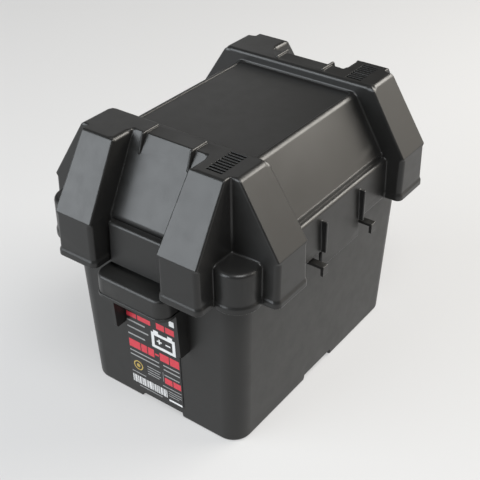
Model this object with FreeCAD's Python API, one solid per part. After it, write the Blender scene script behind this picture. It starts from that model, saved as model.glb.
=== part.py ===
import FreeCAD, Part
import math
import os
from FreeCAD import Vector as V

os.makedirs("parts", exist_ok=True)

# Snap-top battery box with a group U1 deep-cycle battery inside, in mm.
# X is the length (label end at -X), Y the width, Z up.
# Origin: centre of the box's footprint, on the face it rests on.

# ------------------------------------------------------------------ overall
HALF_LEN = 134.0          # end pontoon front face
HALF_WID = 97.0           # side pontoon front face
TOP_Z = 217.0             # top of the end blocks
RIM_Z = 132.8             # bottom edge of the lid
LID_T = 2.6               # lid wall
TUB_T = 3.0               # tub wall

# ------------------------------------------------------------------ lid
BREAK_Z = 167.9           # slopes end here, upright faces start
PANEL_Z = 209.0           # low panel between the end blocks
PANEL_HALF_Y = 52.4       # top edge of the long-side slopes
SLOPE_FOOT_Y = 78.3       # foot of the long-side slopes
LEDGE_Z = 164.9           # ledge under the slopes
SKIRT_TOP_Y = 83.1
SKIRT_LOW_Y = 84.5
BLOCK_IN_X = 65.4         # end block's inner wall at the top
SIDE_OUT_X = 96.3         # side pontoon's outer wall at the top
SIDE_TOP_Y = 65.7
SIDE_BREAK_Y = 96.7
END_TOP_X = 102.5
END_BREAK_X = 133.9
END_IN_Y = 31.5           # end pontoon walls at the top
END_OUT_Y = 59.3
IN_DRAFT_X, IN_DRAFT_Y = 1.3, 3.4    # how far the inner walls lean out down to BREAK_Z
REC_TOP_X = 82.3          # recess slope between the end pontoons
REC_FOOT_X = 114.0
END_WALL_X = 116.5        # lid end wall behind the latch
END_WALL_TOP = 162.0
BOSS_X, BOSS_Y, BOSS_R, BOSS_TOP = 104.5, 69.7, 15.75, 163.0
BEAD_OUT, BEAD_H = 1.0, 4.4
CORE_X, CORE_Y, CORE_R, CORE_TOP = 113.9, 78.2, 17.0, 159.5
NOTCH_Y, NOTCH_TOP = 19.5, 158.0
RIB_X0, RIB_X1, RIB_OUT_Y, RIB_Z0, RIB_Z1 = 24.5, 26.5, 88.2, 131.0, 157.5
TAB_Z = 118.5
FIN_Y, FIN_T, FIN_NOSE_X = 20.5, 2.2, 86.8
SLOT_N, SLOT_PITCH, SLOT_W, SLOT_Y0, SLOT_Y1, SLOT_X0 = 9, 3.1, 1.6, 40.4, 53.0, 71.4
PANEL_SINK = 0.7
TOP_R, UPRIGHT_R, SLOPE_R = 2.2, 3.0, 0.9

# ------------------------------------------------------------------ latches
LATCH_Y = 25.5
LATCH_TOP_Z, LATCH_LOW_Z = 165.0, 134.2
LATCH_OUT_TOP, LATCH_OUT_LOW = 120.3, 121.8
LATCH_T = 2.6
HOOK_Y, HOOK_IN, HOOK_Z0, HOOK_Z1 = 12.0, 114.3, 137.6, 141.2
HINGE_X, HINGE_Z, HINGE_R = 115.65, 163.75, 1.25

# ------------------------------------------------------------------ tub
TUB_BOT_X, TUB_BOT_Y = 106.2, 70.9
TUB_REF_Z, TUB_REF_X, TUB_REF_Y = 135.0, 110.5, 75.4
TUB_TOP_Z = 150.0
TUB_CORNER_R = 15.0
CHAN_Y, CHAN_Y_H = 20.0, 5.0     # channel running along X
CHAN_X, CHAN_X_H = 19.5, 6.0     # channel running along Y
FLOOR_HIGH_Z = 9.0               # inside face over the channels
SHELF_X, SHELF_Y, SHELF_Z0, SHELF_Z1, SHELF_R = 134.0, 31.0, 112.0, 129.0, 9.0
GUSSET_Y0, GUSSET_Y1, GUSSET_LOW_Z = 28.0, 31.0, 72.0
BRK_X0, BRK_X1, BRK_Y, BRK_Z = 30.0, 36.5, 93.0, 128.0
BRK_T, BRK_LIP_Z = 1.8, 120.5
CATCH_Y, CATCH_X, CATCH_Z0, CATCH_Z1 = 14.0, 115.8, 142.2, 145.6

# ------------------------------------------------------------------ label
LAB_Y0, LAB_Y1, LAB_Z0, LAB_Z1, LAB_T, LAB_R = -21.6, 27.75, 9.0, 104.5, 0.4, 3.5
LAB_GAP = 0.05            # adhesive

# ------------------------------------------------------------------ battery
BAT_X, BAT_Y = 98.5, 66.0        # half sizes, group U1
BAT_Z0 = FLOOR_HIGH_Z
CASE_TOP = 145.0
COVER_TOP = 157.5
CASE_T, PART_T = 3.0, 2.5
CELLS = 6
PLATE_P, PLATE_N, SEP_T = 2.2, 1.8, 1.3
PLATE_Y = 61.0
PLATE_Z0, PLATE_Z1 = 13.5, 128.0
STRAP_Z0, STRAP_Z1 = 134.0, 140.0
STRAP_Y = 35.0
TERM_R = 5.0
TERM_TOP = 186.0


# ================================================================== helpers
def plane(nx, ny, nz, px, py, pz, outer=True):
    """Half-space n.x <= d through a point; outer planes move in with the wall."""
    n = math.sqrt(nx * nx + ny * ny + nz * nz)
    nx, ny, nz = nx / n, ny / n, nz / n
    return (nx, ny, nz, nx * px + ny * py + nz * pz, outer)


def slope_x(x0, z0, x1, z1, s=1, outer=True):
    """Plane facing s*X through (x0, z0) and (x1, z1)."""
    nx, nz = (z0 - z1), (x1 - x0)
    if nx < 0:
        nx, nz = -nx, -nz
    return plane(s * nx, 0, nz, s * x0, 0, z0, outer)


def slope_y(y0, z0, y1, z1, s=1, outer=True):
    ny, nz = (z0 - z1), (y1 - y0)
    if ny < 0:
        ny, nz = -ny, -nz
    return plane(0, s * ny, nz, 0, s * y0, z0, outer)


def solve3(a, b, c):
    d = (a[0] * (b[1] * c[2] - b[2] * c[1]) - a[1] * (b[0] * c[2] - b[2] * c[0])
         + a[2] * (b[0] * c[1] - b[1] * c[0]))
    if abs(d) < 1e-9:
        return None
    ra, rb, rc = a[3], b[3], c[3]
    x = (ra * (b[1] * c[2] - b[2] * c[1]) - a[1] * (rb * c[2] - b[2] * rc)
         + a[2] * (rb * c[1] - b[1] * rc)) / d
    y = (a[0] * (rb * c[2] - b[2] * rc) - ra * (b[0] * c[2] - b[2] * c[0])
         + a[2] * (b[0] * rc - rb * c[0])) / d
    z = (a[0] * (b[1] * rc - rb * c[1]) - a[1] * (b[0] * rc - rb * c[0])
         + ra * (b[0] * c[1] - b[1] * c[0])) / d
    return (x, y, z)


def convex(planes, t=0.0):
    """Convex solid from half-spaces, its outer planes moved in by t."""
    pl = [(p[0], p[1], p[2], p[3] - (t if p[4] else 0.0)) for p in planes]
    verts = []
    n = len(pl)
    for i in range(n):
        for j in range(i + 1, n):
            for k in range(j + 1, n):
                q = solve3(pl[i], pl[j], pl[k])
                if q is None:
                    continue
                if all(p[0] * q[0] + p[1] * q[1] + p[2] * q[2] <= p[3] + 1e-6 for p in pl):
                    if not any(abs(q[0] - v[0]) + abs(q[1] - v[1]) + abs(q[2] - v[2]) < 1e-5 for v in verts):
                        verts.append(q)
    faces = []
    for p in pl:
        on = [v for v in verts if abs(p[0] * v[0] + p[1] * v[1] + p[2] * v[2] - p[3]) < 1e-5]
        if len(on) < 3:
            continue
        cx = sum(v[0] for v in on) / len(on)
        cy = sum(v[1] for v in on) / len(on)
        cz = sum(v[2] for v in on) / len(on)
        nrm = V(p[0], p[1], p[2])
        u = V(1, 0, 0) if abs(p[0]) < 0.9 else V(0, 1, 0)
        u = (u - nrm * u.dot(nrm)).normalize()
        w = nrm.cross(u)
        on.sort(key=lambda v: math.atan2((V(*v) - V(cx, cy, cz)).dot(w), (V(*v) - V(cx, cy, cz)).dot(u)))
        pts = [V(*v) for v in on]
        faces.append(Part.Face(Part.makePolygon(pts + [pts[0]])))
    shell = Part.makeShell(faces)
    s = Part.makeSolid(shell)
    if s.Volume < 0:
        s.reverse()
    return s


def edge_mid(e):
    a, b = e.Vertexes[0].Point, e.Vertexes[-1].Point
    return (a + b) * 0.5, (b - a)


def fillet(solid, r, pred):
    es = []
    for e in solid.Edges:
        if len(e.Vertexes) < 2:
            continue
        m, d = edge_mid(e)
        if d.Length < 1e-6:
            continue
        if pred(m, d.normalize()):
            es.append(e)
    if not es:
        return solid
    out = solid.makeFillet(r, es)
    if not out.isValid() or out.Volume <= 0:
        raise ValueError("fillet failed")
    return out


def fuse(shapes):
    out = shapes[0]
    if len(shapes) > 1:
        out = out.multiFuse(shapes[1:])
    return out.removeSplitter()


def box(x0, x1, y0, y1, z0, z1):
    return Part.makeBox(x1 - x0, y1 - y0, z1 - z0, V(x0, y0, z0))


def prism_y(pts, y0, y1):
    """Polygon of (x, z) points pushed along Y."""
    p = [V(x, y0, z) for x, z in pts]
    return Part.Face(Part.makePolygon(p + [p[0]])).extrude(V(0, y1 - y0, 0))


def prism_x(pts, x0, x1):
    p = [V(x0, y, z) for y, z in pts]
    return Part.Face(Part.makePolygon(p + [p[0]])).extrude(V(x1 - x0, 0, 0))


def mir_x(s):
    return s.mirror(V(0, 0, 0), V(1, 0, 0))


def mir_y(s):
    return s.mirror(V(0, 0, 0), V(0, 1, 0))


def four(s):
    return [s, mir_x(s), mir_y(s), mir_x(mir_y(s))]


def round_slab(hx, hy, r, z0, z1):
    b = box(-hx, hx, -hy, hy, z0, z1)
    return fillet(b, r, lambda m, d: abs(d.z) > 0.9)


def export(shape, name):
    shape.exportStep("parts/" + name + ".step")


OPEN = 40.0     # how far the cavities run below the rim


# ================================================================== lid shell
def side_planes(low, grow=0.0, top=TOP_Z):
    """Both side pontoons at the +X end, as one bar across the width."""
    pl = [plane(0, 0, 1, 0, 0, top),
          plane(0, 0, -1, 0, 0, low, False)]
    for s in (1, -1):
        pl.append(slope_y(SIDE_TOP_Y, TOP_Z, SIDE_BREAK_Y, BREAK_Z, s))
        pl.append(slope_y(SIDE_BREAK_Y + grow, BREAK_Z, HALF_WID + grow, RIM_Z, s))
    pl.append(slope_x(SIDE_OUT_X + grow, TOP_Z, SIDE_OUT_X + 1.3 + grow, BREAK_Z))
    pl.append(plane(-(TOP_Z - BREAK_Z), 0, IN_DRAFT_X, BLOCK_IN_X - grow, 0, TOP_Z))
    return pl


def end_planes(low, grow=0.0, top=TOP_Z):
    """The +X +Y end pontoon."""
    return [plane(0, 0, 1, 0, 0, top),
            plane(0, 0, -1, 0, 0, low, False),
            slope_x(END_TOP_X, TOP_Z, END_BREAK_X, BREAK_Z),
            slope_x(END_BREAK_X + grow, BREAK_Z, HALF_LEN + grow, RIM_Z),
            slope_y(END_OUT_Y + grow, TOP_Z, END_OUT_Y + 1.2 + grow, BREAK_Z),
            plane(0, -(TOP_Z - BREAK_Z), IN_DRAFT_Y, 0, END_IN_Y - grow, TOP_Z),
            plane(0, -1, 0, 0, END_IN_Y - IN_DRAFT_Y - grow, 0),
            plane(-1, 0, 0, 74.0, 0, 0, False)]


def recess_planes(low):
    pl = [plane(0, 0, 1, 0, 0, TOP_Z),
          plane(0, 0, -1, 0, 0, low, False),
          slope_x(REC_TOP_X, TOP_Z, REC_FOOT_X, 167.5),
          plane(1, 0, 0, REC_FOOT_X, 0, 0),
          plane(-1, 0, 0, 72.0, 0, 0, False)]
    for s in (1, -1):
        pl.append(plane(0, s, 0, 0, s * 46.0, 0, False))
    return pl


def roof_planes(low):
    pl = [plane(0, 0, 1, 0, 0, PANEL_Z),
          plane(0, 0, -1, 0, 0, low, False)]
    for s in (1, -1):
        pl.append(slope_y(PANEL_HALF_Y, PANEL_Z, SLOPE_FOOT_Y, BREAK_Z, s))
        pl.append(plane(0, s, 0, 0, s * SLOPE_FOOT_Y, 0))
        pl.append(plane(s, 0, 0, s * 80.0, 0, 0, False))
    return pl


def skirt_planes(low):
    pl = [plane(0, 0, 1, 0, 0, LEDGE_Z),
          plane(0, 0, -1, 0, 0, low, False)]
    for s in (1, -1):
        pl.append(slope_y(SKIRT_TOP_Y, LEDGE_Z, SKIRT_LOW_Y, RIM_Z, s))
        pl.append(plane(s, 0, 0, s * 80.0, 0, 0, False))
    return pl


def wall_planes(low):
    pl = [plane(0, 0, 1, 0, 0, END_WALL_TOP),
          plane(0, 0, -1, 0, 0, low, False),
          plane(1, 0, 0, END_WALL_X, 0, 0),
          plane(-1, 0, 0, 90.0, 0, 0, False)]
    for s in (1, -1):
        pl.append(plane(0, s, 0, 0, s * 40.0, 0, False))
    return pl


def near(a, b, tol=0.6):
    return abs(a - b) < tol


def is_vertical(d):
    return abs(d.z) > 0.985


side = convex(side_planes(RIM_Z))
side = fillet(side, TOP_R, lambda m, d: near(m.z, TOP_Z) and m.x > 60)
# upright corners below the slope, then the slope's own edges
side = fillet(side, UPRIGHT_R, lambda m, d: is_vertical(d) and 140 < m.z < BREAK_Z and abs(m.y) > 90)
side = fillet(side, SLOPE_R, lambda m, d: BREAK_Z - 0.3 < m.z < TOP_Z - 3 and SIDE_TOP_Y - 4 < abs(m.y) < SIDE_BREAK_Y + 0.5)

# between the end pontoons the recess slope takes over from the bar
REC_CUT = box(78.0, 120.0, -45.0, 45.0, RIM_Z - OPEN - 5.0, TOP_Z + 5.0)
side = side.cut(REC_CUT)

end = convex(end_planes(RIM_Z))
end = fillet(end, TOP_R, lambda m, d: near(m.z, TOP_Z) and m.x > 75)
end = fillet(end, UPRIGHT_R, lambda m, d: is_vertical(d) and 140 < m.z < BREAK_Z and m.x > 128)

recess = convex(recess_planes(RIM_Z))
recess = fillet(recess, 1.2, lambda m, d: near(m.z, TOP_Z) and near(m.x, REC_TOP_X))
recess = fillet(recess, 0.6, lambda m, d: near(m.z, 167.5) and near(m.x, REC_FOOT_X))
roof = convex(roof_planes(RIM_Z))
roof = fillet(roof, 2.2, lambda m, d: near(m.z, PANEL_Z) and abs(m.y) > 50)
roof = fillet(roof, 0.5, lambda m, d: near(m.z, BREAK_Z) and abs(m.y) > 70)
skirt = convex(skirt_planes(RIM_Z))
skirt = fillet(skirt, 2.4, lambda m, d: near(m.z, LEDGE_Z) and abs(m.y) > 80)
wall = convex(wall_planes(RIM_Z))
wall = fillet(wall, 1.0, lambda m, d: near(m.z, END_WALL_TOP) and near(m.x, END_WALL_X))
boss = Part.makeCylinder(BOSS_R, BOSS_TOP - RIM_Z, V(BOSS_X, BOSS_Y, RIM_Z))
boss = boss.makeFillet(3.2, [e for e in boss.Edges if near(e.CenterOfMass.z, BOSS_TOP, 0.1)])

# bead along the rim
bead_top = RIM_Z + BEAD_H
bead_side = convex(side_planes(RIM_Z, BEAD_OUT, bead_top))
bead_end = convex(end_planes(RIM_Z, BEAD_OUT, bead_top))
bead_side = fillet(bead_side, 7.0, lambda m, d: is_vertical(d))
bead_end = fillet(bead_end, 7.0, lambda m, d: is_vertical(d) and m.x > 100)
bead_side = fillet(bead_side, 0.7, lambda m, d: near(m.z, bead_top, 0.1))
bead_end = fillet(bead_end, 0.7, lambda m, d: near(m.z, bead_top, 0.1))
bead_boss = Part.makeCylinder(BOSS_R + BEAD_OUT, BEAD_H, V(BOSS_X, BOSS_Y, RIM_Z))
bead_boss = bead_boss.makeFillet(0.7, [e for e in bead_boss.Edges if near(e.CenterOfMass.z, bead_top, 0.1)])

outer_x = [side, recess, wall, bead_side]
outer_q = [end, boss, bead_end, bead_boss]
parts = [roof, skirt]
for s in outer_x:
    parts += [s, mir_x(s)]
for s in outer_q:
    parts += four(s)
lid = fuse(parts)
print("lid outer", lid.isValid(), len(lid.Solids), round(lid.Volume))

# cavity
low = RIM_Z - OPEN
cav = [convex(roof_planes(low), LID_T), convex(skirt_planes(low), LID_T)]
for pls in (side_planes, recess_planes, wall_planes):
    c = convex(pls(low), LID_T)
    if pls is side_planes:
        c = c.cut(REC_CUT)
    cav += [c, mir_x(c)]
cav += four(convex(end_planes(low), LID_T))
cb = Part.makeCylinder(BOSS_R - LID_T, BOSS_TOP - LID_T - low, V(BOSS_X, BOSS_Y, low))
cav += four(cb)
cav.append(round_slab(CORE_X, CORE_Y, CORE_R, low, CORE_TOP))
cavity = fuse(cav)
print("lid cavity", cavity.isValid(), len(cavity.Solids), round(cavity.Volume))

# the low panel's shallow sunk field
sink = round_slab(64.2, 49.0, 4.0, PANEL_Z - PANEL_SINK, PANEL_Z + 3.0)
lid = lid.cut(sink.cut(fuse([convex(side_planes(RIM_Z)), mir_x(convex(side_planes(RIM_Z)))])))

# features that hang on the lid wall, trimmed to stay outside the cavity
adds = []
for sx in (1, -1):
    for sy in (1, -1):
        x0, x1 = sorted((sx * RIB_X0, sx * RIB_X1))
        y0, y1 = sorted((sy * 82.4, sy * RIB_OUT_Y))
        rib = box(x0, x1, y0, y1, RIB_Z0, RIB_Z1)
        rib = fillet(rib, 0.6, lambda m, d: near(abs(m.y), RIB_OUT_Y, 0.1) or (near(m.z, RIB_Z1, 0.1) and abs(d.x) > 0.9))
        adds.append(rib)
for sy in (1, -1):
    y0, y1 = sorted((sy * (SKIRT_LOW_Y - LID_T), sy * SKIRT_LOW_Y))
    tab = box(-RIB_X0 - 1.0, RIB_X0 + 1.0, y0, y1, TAB_Z, RIM_Z + 3.0)
    tab = fillet(tab, 3.0, lambda m, d: near(m.z, TAB_Z, 0.1) is False and abs(d.y) > 0.9 and m.z < TAB_Z + 1)
    adds.append(tab)
k = (167.5 - TOP_Z) / (REC_FOOT_X - REC_TOP_X)
fx = REC_TOP_X + (TOP_Z - 205.5) / -k
fin_pts = [(70.0, TOP_Z - 1.0), (70.0, TOP_Z + 0.4), (71.2, TOP_Z + 1.6), (FIN_NOSE_X - 1.2, TOP_Z + 1.6),
           (FIN_NOSE_X + 0.2, TOP_Z + 0.4), (fx + 1.2, 206.0), (fx + 0.5, 204.7), (fx - 3.0, 206.0), (REC_TOP_X - 3.0, TOP_Z - 1.0)]
for sx in (1, -1):
    for sy in (1, -1):
        adds.append(prism_y([(sx * x, z) for x, z in fin_pts], sy * FIN_Y - FIN_T / 2, sy * FIN_Y + FIN_T / 2))
lid = fuse([lid] + adds)
lid = lid.cut(cavity)

# stop ribs that sit on the tub's rim
stops = []
for sx in (1, -1):
    for x in (12.0, 46.0):
        for sy in (1, -1):
            y0, y1 = sorted((sy * 72.0, sy * 82.0))
            stops.append(box(sx * x - 1.2, sx * x + 1.2, y0, y1, TUB_TOP_Z, 172.0))
    for sy in (1, -1):
        x0, x1 = sorted((sx * 108.0, sx * 115.0))
        stops.append(box(x0, x1, sy * 26.0 - 1.2, sy * 26.0 + 1.2, TUB_TOP_Z, 172.0))
hull_in = fuse([convex(roof_planes(RIM_Z), 0.5), convex(skirt_planes(RIM_Z), 0.5)]
               + [f(convex(p(RIM_Z), 0.5)) for p in (recess_planes, wall_planes) for f in (lambda s: s, mir_x)])
stops = [s.common(hull_in) for s in stops]
lid = fuse([lid] + stops)

# vent slots through both end blocks
slots = []
for sx in (1, -1):
    for i in range(SLOT_N):
        xc = sx * (SLOT_X0 + i * SLOT_PITCH)
        slots.append(box(xc - SLOT_W / 2, xc + SLOT_W / 2, -SLOT_Y1, -SLOT_Y0, TOP_Z - 6.0, TOP_Z + 1.0))
# openings behind the latches
for sx in (1, -1):
    x0, x1 = sorted((sx * 108.0, sx * 117.0))
    slots.append(box(x0, x1, -NOTCH_Y, NOTCH_Y, RIM_Z - 1.0, NOTCH_TOP))
for s in slots:
    lid = lid.cut(s)
lid = lid.removeSplitter()
print("lid", lid.isValid(), len(lid.Solids), round(lid.Volume))
export(lid, "lid_shell")


# ================================================================== latches
def latch(sx):
    out = [plane(0, 0, 1, 0, 0, LATCH_TOP_Z), plane(0, 0, -1, 0, 0, LATCH_LOW_Z),
           slope_x(LATCH_OUT_TOP, LATCH_TOP_Z, LATCH_OUT_LOW, LATCH_LOW_Z),
           plane(-1, 0, 0, REC_FOOT_X + 0.4, 0, 0), plane(0, 1, 0, 0, LATCH_Y, 0), plane(0, -1, 0, 0, -LATCH_Y, 0)]
    b = convex(out)
    b = fillet(b, 2.2, lambda m, d: (near(m.z, LATCH_TOP_Z, 0.1) and m.x > 119) or (is_vertical(d) and m.x > 119)
               or (near(m.z, LATCH_TOP_Z, 0.1) and abs(m.y) > 25))
    b = b.cut(box(110.0, END_WALL_X + 0.5, -40, 40, 120.0, END_WALL_TOP + 0.5))
    inner = convex([plane(0, 0, 1, 0, 0, LATCH_TOP_Z), plane(0, 0, -1, 0, 0, 100.0, False),
                    slope_x(LATCH_OUT_TOP, LATCH_TOP_Z, LATCH_OUT_LOW, LATCH_LOW_Z),
                    plane(-1, 0, 0, 110.0, 0, 0, False), plane(0, 1, 0, 0, LATCH_Y, 0), plane(0, -1, 0, 0, -LATCH_Y, 0)], 2.2)
    b = b.cut(inner)
    # the web's root is round about the hinge line
    b = b.cut(box(110.0, HINGE_X, -40, 40, 120.0, LATCH_TOP_Z + 1.0))
    root = Part.makeCylinder(HINGE_R, 2 * LATCH_Y, V(HINGE_X, -LATCH_Y, HINGE_Z), V(0, 1, 0))
    b = b.fuse(root)
    hook = prism_y([(120.2, HOOK_Z1), (HOOK_IN + 0.6, HOOK_Z1), (HOOK_IN, HOOK_Z1 - 0.6), (HOOK_IN, HOOK_Z1 - 1.2), (117.6, HOOK_Z0), (120.2, HOOK_Z0)],
                   -HOOK_Y, HOOK_Y)
    b = fuse([b, hook])
    return b if sx > 0 else mir_x(b)


for sx, name in ((-1, "latch_tongue_left"), (1, "latch_tongue_right")):
    b = latch(sx)
    print(name, b.isValid(), len(b.Solids), round(b.Volume))
    export(b, name)


# ================================================================== tub
def tub_planes(z0, z1, top_outer=False):
    pl = [plane(0, 0, 1, 0, 0, z1, top_outer), plane(0, 0, -1, 0, 0, z0)]
    for s in (1, -1):
        pl.append(slope_x(TUB_REF_X, TUB_REF_Z, TUB_BOT_X, 0.0, s))
        pl.append(slope_y(TUB_REF_Y, TUB_REF_Z, TUB_BOT_Y, 0.0, s))
    return pl


body = convex(tub_planes(0.0, TUB_TOP_Z))
body = fillet(body, TUB_CORNER_R, lambda m, d: abs(d.z) > 0.9)
body = fillet(body, 2.4, lambda m, d: m.z < 0.1)
inner = convex(tub_planes(0.0, TUB_TOP_Z + 20.0), TUB_T)
inner = fillet(inner, TUB_CORNER_R - TUB_T, lambda m, d: abs(d.z) > 0.9)
inner = fillet(inner, 1.5, lambda m, d: m.z < TUB_T + 0.1)
humps = [prism_x([(-CHAN_Y - 4.0, 0), (CHAN_Y + 4.0, 0), (CHAN_Y + 3.0, FLOOR_HIGH_Z), (-CHAN_Y - 3.0, FLOOR_HIGH_Z)], -120, 120),
         prism_y([(-CHAN_X - 4.0, 0), (CHAN_X + 4.0, 0), (CHAN_X + 3.0, FLOOR_HIGH_Z), (-CHAN_X - 3.0, FLOOR_HIGH_Z)], -90, 90)]
inner = inner.cut(fuse(humps))
chans = [prism_x([(-CHAN_Y - 0.8, -1), (CHAN_Y + 0.8, -1), (CHAN_Y - 0.4, CHAN_Y_H), (-CHAN_Y + 0.4, CHAN_Y_H)], -120, 120),
         prism_y([(-CHAN_X - 0.8, -1), (CHAN_X + 0.8, -1), (CHAN_X - 0.6, CHAN_X_H), (-CHAN_X + 0.6, CHAN_X_H)], -90, 90)]
body = body.cut(fuse(chans))

# rim roll round the tub's top
roll_hx = TUB_REF_X + (TUB_TOP_Z - TUB_REF_Z) * (TUB_REF_X - TUB_BOT_X) / TUB_REF_Z + 1.1
roll_hy = TUB_REF_Y + (TUB_TOP_Z - TUB_REF_Z) * (TUB_REF_Y - TUB_BOT_Y) / TUB_REF_Z + 1.1
roll = round_slab(roll_hx, roll_hy, TUB_CORNER_R + 0.8, TUB_TOP_Z - 4.0, TUB_TOP_Z)
roll = fillet(roll, 0.8, lambda m, d: near(m.z, TUB_TOP_Z - 4.0, 0.1))

pieces = [body, roll]
# end handle shelves
shelf = box(100.0, SHELF_X, -SHELF_Y, SHELF_Y, SHELF_Z0, SHELF_Z1)
shelf = fillet(shelf, SHELF_R, lambda m, d: abs(d.z) > 0.9 and m.x > 130)
shelf = fillet(shelf, 2.4, lambda m, d: near(m.z, SHELF_Z1, 0.1) and m.x > 105)
lip = box(100.0, SHELF_X + 0.7, -SHELF_Y - 0.7, SHELF_Y + 0.7, SHELF_Z0, SHELF_Z0 + 2.4)
lip = fillet(lip, SHELF_R + 0.6, lambda m, d: abs(d.z) > 0.9 and m.x > 130)
lip = fillet(lip, 0.6, lambda m, d: near(m.z, SHELF_Z0 + 2.4, 0.1) and m.x > 105)
pocket = box(100.0, SHELF_X - TUB_T, -SHELF_Y + TUB_T, SHELF_Y - TUB_T, SHELF_Z0 - 5.0, SHELF_Z1 - TUB_T)
pocket = fillet(pocket, SHELF_R - TUB_T, lambda m, d: abs(d.z) > 0.9 and m.x > 128)
shelf = fuse([shelf, lip]).cut(pocket)
gus = []
for sy in (1, -1):
    y0, y1 = sorted((sy * GUSSET_Y0, sy * GUSSET_Y1))
    gus.append(prism_y([(104.0, SHELF_Z0 + 4.0), (121.0, SHELF_Z0 + 4.0), (121.0, SHELF_Z0), (118.4, GUSSET_LOW_Z + 1.5), (117.2, GUSSET_LOW_Z), (104.0, GUSSET_LOW_Z)], y0, y1))
catch = prism_y([(105.0, CATCH_Z1), (CATCH_X - 2.2, CATCH_Z1), (CATCH_X, CATCH_Z0 + 1.0), (CATCH_X, CATCH_Z0), (105.0, CATCH_Z0)], -CATCH_Y, CATCH_Y)
for s in [shelf, catch] + gus:
    pieces += [s, mir_x(s)]
# side brackets
plate = box(BRK_X0, BRK_X1, 70.0, BRK_Y, BRK_Z - BRK_T, BRK_Z)
guide_lip = box(BRK_X0, BRK_X1, BRK_Y - 2.2, BRK_Y, BRK_LIP_Z, BRK_Z)
bracket = fuse([plate, guide_lip])
bracket = fillet(bracket, 0.6, lambda m, d: (near(m.z, BRK_Z, 0.1) and m.y > 71) or (near(m.z, BRK_LIP_Z, 0.1) and abs(d.x) > 0.9))
pieces += four(bracket)
tub = fuse(pieces)
tub = tub.cut(inner).removeSplitter()
print("tub", tub.isValid(), len(tub.Solids), round(tub.Volume))
export(tub, "tub")

# ================================================================== label
run = (TUB_REF_X - TUB_BOT_X) / TUB_REF_Z
lab = box(-(LAB_T + 1.0), 0.0, LAB_Y0, LAB_Y1, LAB_Z0, LAB_Z1)
lab = fillet(lab, LAB_R, lambda m, d: abs(d.x) > 0.9)
ang = math.degrees(math.atan(run))
xw0 = -(TUB_BOT_X + run * LAB_Z0) - LAB_GAP
lab = box(xw0 - LAB_T, xw0, LAB_Y0, LAB_Y1, LAB_Z0, LAB_Z0 + (LAB_Z1 - LAB_Z0) / math.cos(math.radians(ang)))
lab = fillet(lab, LAB_R, lambda m, d: abs(d.x) > 0.9)
lab.rotate(V(xw0, 0, LAB_Z0), V(0, 1, 0), -ang)
print("label", lab.isValid(), lab.BoundBox)
export(lab, "label")

# ================================================================== battery
case = round_slab(BAT_X, BAT_Y, 4.0, BAT_Z0, CASE_TOP)
cell_w = (2 * BAT_X - 2 * CASE_T - (CELLS - 1) * PART_T) / CELLS
cell_x = [-BAT_X + CASE_T + i * (cell_w + PART_T) for i in range(CELLS)]
for x in cell_x:
    case = case.cut(box(x, x + cell_w, -BAT_Y + CASE_T, BAT_Y - CASE_T, BAT_Z0 + CASE_T, CASE_TOP + 1))
# windows in the partitions for the links
link_side = []
for i in range(CELLS - 1):
    s = -1 if i % 2 == 0 else 1
    link_side.append(s)
    xp = cell_x[i] + cell_w
    case = case.cut(box(xp - 0.5, xp + PART_T + 0.5, s * STRAP_Y - 5.0, s * STRAP_Y + 5.0, STRAP_Z0 + 0.5, STRAP_Z1 - 0.5))
case = case.removeSplitter()
print("case", case.isValid(), len(case.Solids))
export(case, "battery_case")

cover = round_slab(BAT_X, BAT_Y, 4.0, CASE_TOP, COVER_TOP)
cover = fillet(cover, 2.0, lambda m, d: near(m.z, COVER_TOP, 0.1))
for i, x in enumerate(cell_x):
    cover = cover.cut(box(x + 1.0, x + cell_w - 1.0, -BAT_Y + CASE_T + 1, BAT_Y - CASE_T - 1, CASE_TOP - 1, COVER_TOP - 4.0))
    cover = cover.cut(Part.makeCylinder(6.0, 20.0, V(x + cell_w / 2, 0, CASE_TOP - 1)))
term_x = [cell_x[0] + cell_w / 2, cell_x[-1] + cell_w / 2]
for x in term_x:
    cover = cover.cut(Part.makeCylinder(8.0, 20.0, V(x, STRAP_Y, CASE_TOP - 1)))
cover = cover.removeSplitter()
print("cover", cover.isValid(), len(cover.Solids))
export(cover, "battery_cover")

caps = []
for x in cell_x:
    xc = x + cell_w / 2
    c = Part.makeCylinder(5.8, 4.0, V(xc, 0, COVER_TOP - 4.0)).fuse(Part.makeCylinder(7.4, 2.0, V(xc, 0, COVER_TOP)))
    c = c.removeSplitter()
    c = c.cut(Part.makeCylinder(4.2, 4.5, V(xc, 0, COVER_TOP - 4.2)))
    caps.append(c)
export(Part.makeCompound(caps), "valve_caps")

strip = round_slab(90.0, 11.0, 3.0, COVER_TOP, COVER_TOP + 5.0)
strip = fillet(strip, 1.0, lambda m, d: near(m.z, COVER_TOP + 5.0, 0.1))
strip = strip.cut(round_slab(88.2, 9.2, 1.5, COVER_TOP - 1, COVER_TOP + 3.4))
export(strip, "vent_strip")

for x, name in ((term_x[0], "terminal_positive"), (term_x[1], "terminal_negative")):
    post = Part.makeCylinder(TERM_R, COVER_TOP - STRAP_Z1, V(x, STRAP_Y, STRAP_Z1))
    foot = box(x - 8.5, x + 8.5, STRAP_Y - 8.5, STRAP_Y + 8.5, COVER_TOP, COVER_TOP + 3.0)
    foot = fillet(foot, 2.0, lambda m, d: abs(d.z) > 0.9)
    blade = box(x - 8.0, x + 8.0, STRAP_Y - 1.75, STRAP_Y + 1.75, COVER_TOP + 2.0, TERM_TOP)
    blade = fillet(blade, 5.0, lambda m, d: abs(d.y) > 0.9 and m.z > TERM_TOP - 1)
    t = fuse([post, foot, blade])
    hole = Part.makeCylinder(3.3, 10.0, V(x, STRAP_Y - 5.0, TERM_TOP - 9.0), V(0, 1, 0))
    t = t.cut(hole).removeSplitter()
    print(name, t.isValid(), len(t.Solids))
    export(t, name)


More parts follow.
